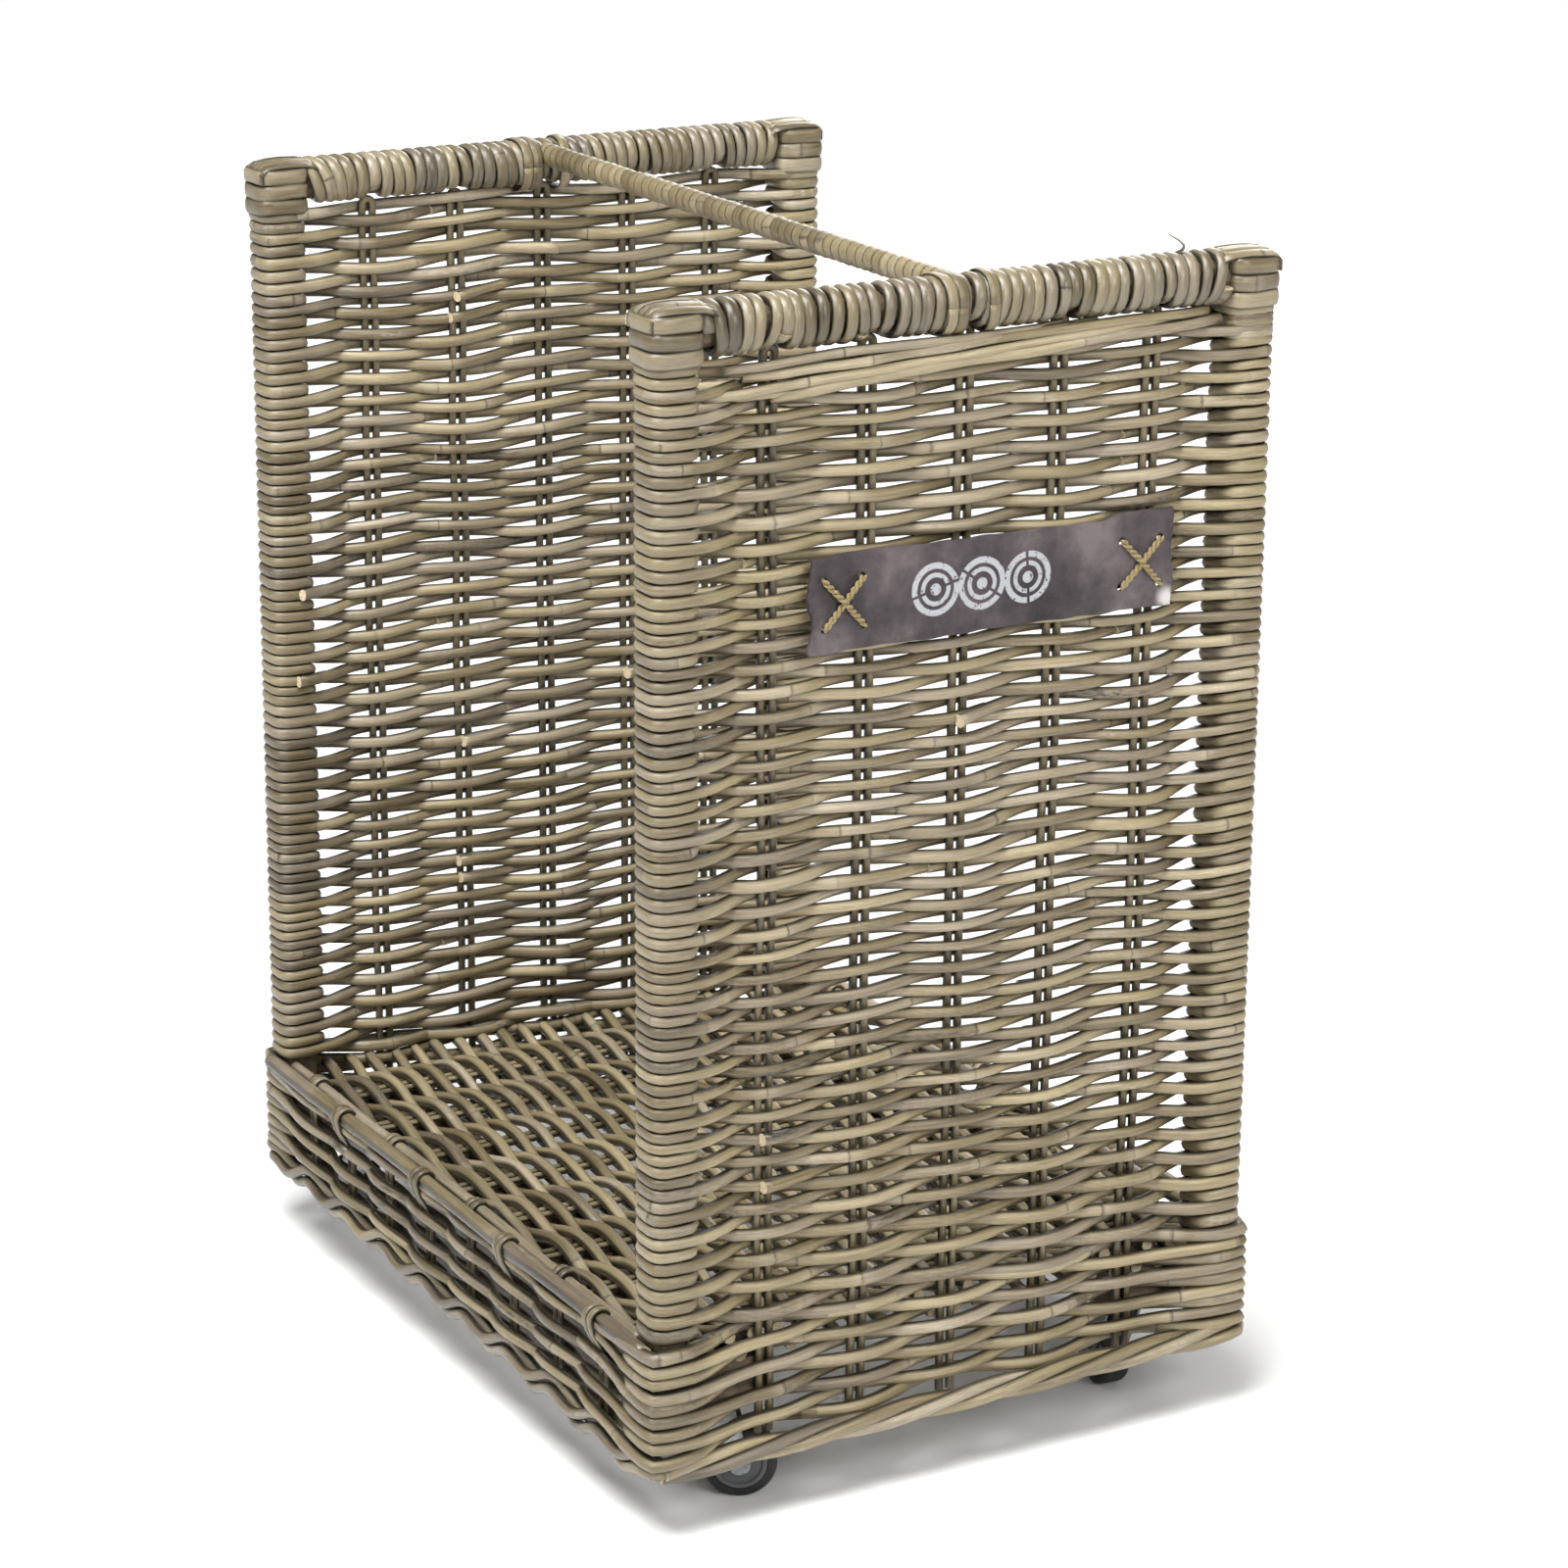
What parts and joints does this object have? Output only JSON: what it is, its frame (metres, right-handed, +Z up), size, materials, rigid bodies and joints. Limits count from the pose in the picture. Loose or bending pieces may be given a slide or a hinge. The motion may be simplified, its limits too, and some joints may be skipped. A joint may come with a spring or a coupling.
{
  "type": "log basket",
  "caption": "Open-ended woven rattan log basket on swivel castors: two tall side panels, a woven floor with a low curb, a handle bar between the bound rails, a laced label.",
  "frame": {"origin": "on the ground, under the middle of the basket", "axes": "+Z up; +X along the handle, towards the side panel with the label; -Y the open front"},
  "size_m": [0.509, 0.37, 0.645],
  "materials": {
    "peeled_cane": "satin",
    "grey_rattan": "satin",
    "cane_binding": "satin",
    "batten_wood": "matte",
    "label_leather": "matte",
    "label_cord": "matte",
    "zinc_steel": "satin",
    "grey_rim": "matte",
    "black_rubber": "matte"
  },
  "bodies": {
    "basket": {"front_left_post": "peeled_cane", "back_left_post": "peeled_cane", "front_right_post": "peeled_cane", "back_right_post": "peeled_cane", "left_top_rail": "peeled_cane", "right_top_rail": "peeled_cane", "left_rail_binding": "cane_binding", "right_rail_binding": "cane_binding", "left_side_weave": "grey_rattan", "right_side_weave": "grey_rattan", "handle_bar": "peeled_cane", "handle_wrap": "cane_binding", "left_stake_pair_1": "peeled_cane", "left_stake_pair_2": "peeled_cane", "left_stake_pair_3": "peeled_cane", "left_stake_pair_4": "peeled_cane", "left_stake_pair_5": "peeled_cane", "right_stake_pair_1": "peeled_cane", "right_stake_pair_2": "peeled_cane", "right_stake_pair_3": "peeled_cane", "right_stake_pair_4": "peeled_cane", "right_stake_pair_5": "peeled_cane", "floor_stake_pair_1": "peeled_cane", "floor_stake_pair_2": "peeled_cane", "floor_stake_pair_3": "peeled_cane", "floor_stake_pair_4": "peeled_cane", "floor_stake_pair_5": "peeled_cane", "floor_stake_pair_6": "peeled_cane", "floor_stake_pair_7": "peeled_cane", "floor_stake_pair_8": "peeled_cane", "floor_weave": "grey_rattan", "base_band": "grey_rattan", "foot_border": "grey_rattan", "front_edge_rod": "peeled_cane", "back_edge_rod": "peeled_cane", "front_batten": "batten_wood", "back_batten": "batten_wood", "label": "label_leather", "front_label_lacing": "label_cord", "back_label_lacing": "label_cord", "front_right_castor_plate": "zinc_steel", "back_right_castor_plate": "zinc_steel", "front_left_castor_plate": "zinc_steel", "back_left_castor_plate": "zinc_steel"},
    "castor_fork_front_right": {"front_right_castor_fork": "zinc_steel", "front_right_castor_axle": "zinc_steel"},
    "castor_wheel_front_right": {"front_right_castor_rim": "grey_rim", "front_right_castor_tyre": "black_rubber"},
    "castor_fork_back_right": {"back_right_castor_fork": "zinc_steel", "back_right_castor_axle": "zinc_steel"},
    "castor_wheel_back_right": {"back_right_castor_rim": "grey_rim", "back_right_castor_tyre": "black_rubber"},
    "castor_fork_front_left": {"front_left_castor_fork": "zinc_steel", "front_left_castor_axle": "zinc_steel"},
    "castor_wheel_front_left": {"front_left_castor_rim": "grey_rim", "front_left_castor_tyre": "black_rubber"},
    "castor_fork_back_left": {"back_left_castor_fork": "zinc_steel", "back_left_castor_axle": "zinc_steel"},
    "castor_wheel_back_left": {"back_left_castor_rim": "grey_rim", "back_left_castor_tyre": "black_rubber"}
  },
  "joints": [
    {"name": "swivel_front_right", "type": "hinge", "parent": "basket", "child": "castor_fork_front_right", "pos_m": [0.20867, -0.1297, 0.0578], "axis": [0, 0, 1], "continuous": true},
    {"name": "wheel_front_right", "type": "hinge", "parent": "castor_fork_front_right", "child": "castor_wheel_front_right", "pos_m": [0.21739, -0.11396, 0.02], "axis": [-0.8746, 0.4848, 0], "continuous": true},
    {"name": "swivel_back_right", "type": "hinge", "parent": "basket", "child": "castor_fork_back_right", "pos_m": [0.20867, 0.1297, 0.0578], "axis": [0, 0, 1], "continuous": true},
    {"name": "wheel_back_right", "type": "hinge", "parent": "castor_fork_back_right", "child": "castor_wheel_back_right", "pos_m": [0.19084, 0.1322, 0.02], "axis": [-0.1392, -0.9903, 0], "continuous": true},
    {"name": "swivel_front_left", "type": "hinge", "parent": "basket", "child": "castor_fork_front_left", "pos_m": [-0.20867, -0.1297, 0.0578], "axis": [0, 0, 1], "continuous": true},
    {"name": "wheel_front_left", "type": "hinge", "parent": "castor_fork_front_left", "child": "castor_wheel_front_left", "pos_m": [-0.22359, -0.13977, 0.02], "axis": [0.5592, -0.829, 0], "continuous": true},
    {"name": "swivel_back_left", "type": "hinge", "parent": "basket", "child": "castor_fork_back_left", "pos_m": [-0.20867, 0.1297, 0.0578], "axis": [0, 0, 1], "continuous": true},
    {"name": "wheel_back_left", "type": "hinge", "parent": "castor_fork_back_left", "child": "castor_wheel_back_left", "pos_m": [-0.21712, 0.14559, 0.02], "axis": [-0.8829, -0.4695, 0], "continuous": true}
  ]
}
